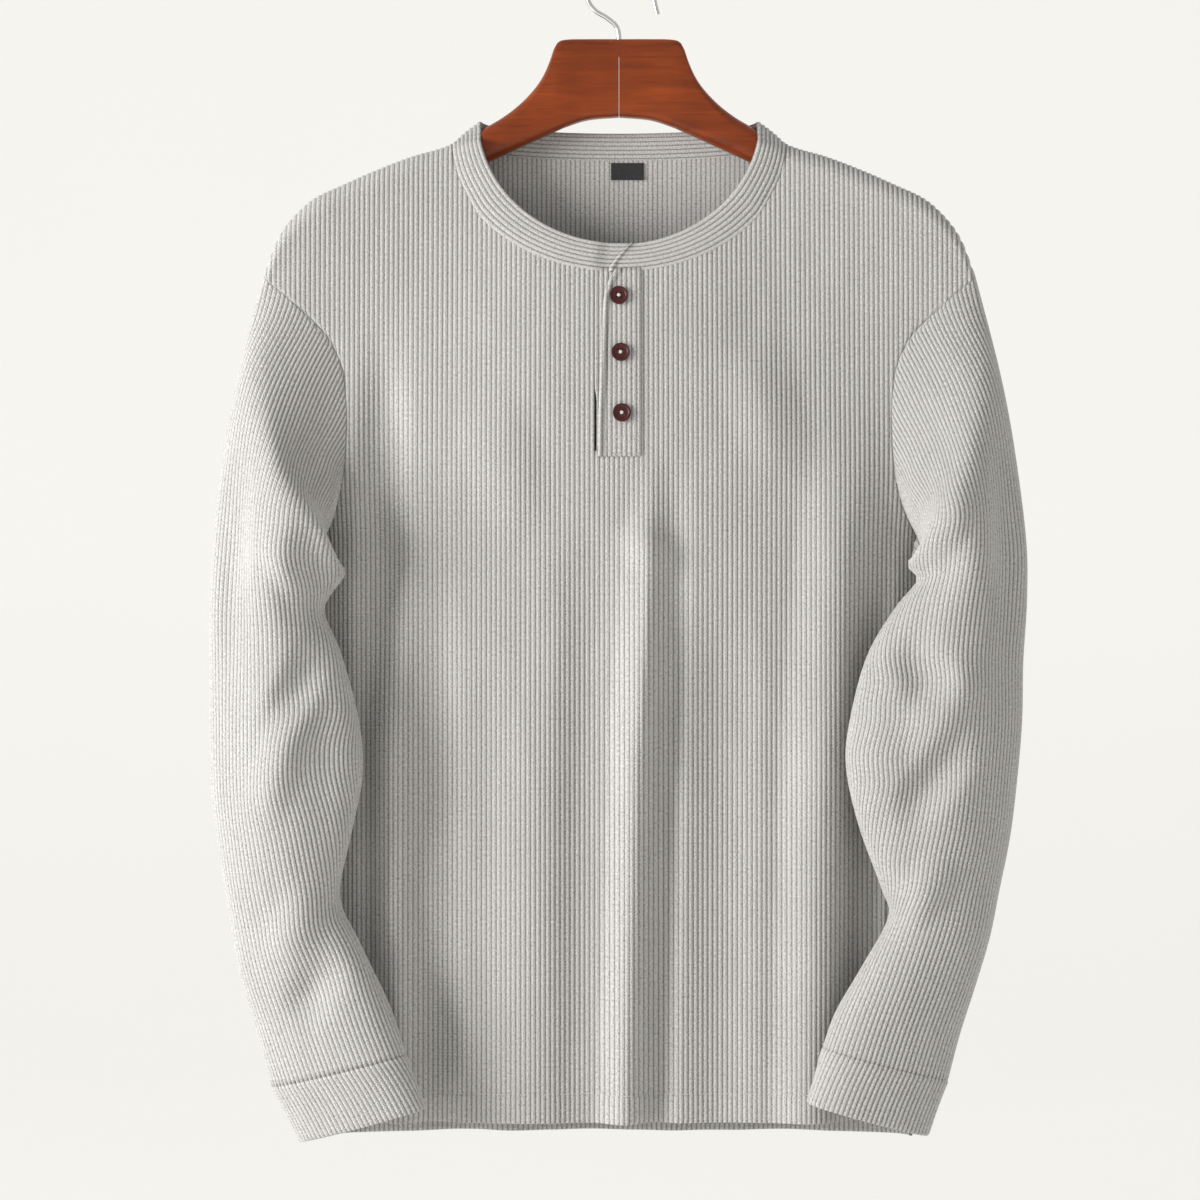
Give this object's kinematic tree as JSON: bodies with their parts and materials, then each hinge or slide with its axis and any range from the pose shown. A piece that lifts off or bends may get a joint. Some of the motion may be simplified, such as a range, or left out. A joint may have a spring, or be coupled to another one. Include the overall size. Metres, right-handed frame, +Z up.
{
  "type": "henley shirt on a hanger",
  "caption": "Long-sleeved rib-knit henley shirt with a buttoned neck opening, hanging open and hollow on a wooden hanger with a wire hook.",
  "frame": {"origin": "inner top of the hook, where it hangs on a rail", "axes": "+Z up, -Y the way the front of the shirt faces, +X towards the wearer's left"},
  "size_m": [0.5635, 0.133, 0.8306],
  "materials": {
    "knit": "light heather grey rib knit",
    "button": "dark red-brown",
    "label": "plain black woven tab",
    "wood": "red-brown gloss lacquer",
    "metal": "bright wire"
  },
  "bodies": {
    "root": {"front": "knit", "back": "knit", "sleeve_left": "knit", "sleeve_right": "knit", "cuff_left": "knit", "cuff_right": "knit", "neckband": "knit", "placket_top": "knit", "placket_under": "knit", "button_1": "button", "button_2": "button", "button_3": "button", "neck_label": "label", "hanger_left": "wood", "hanger_right": "wood", "hanger_hook": "metal"}
  },
  "joints": []
}
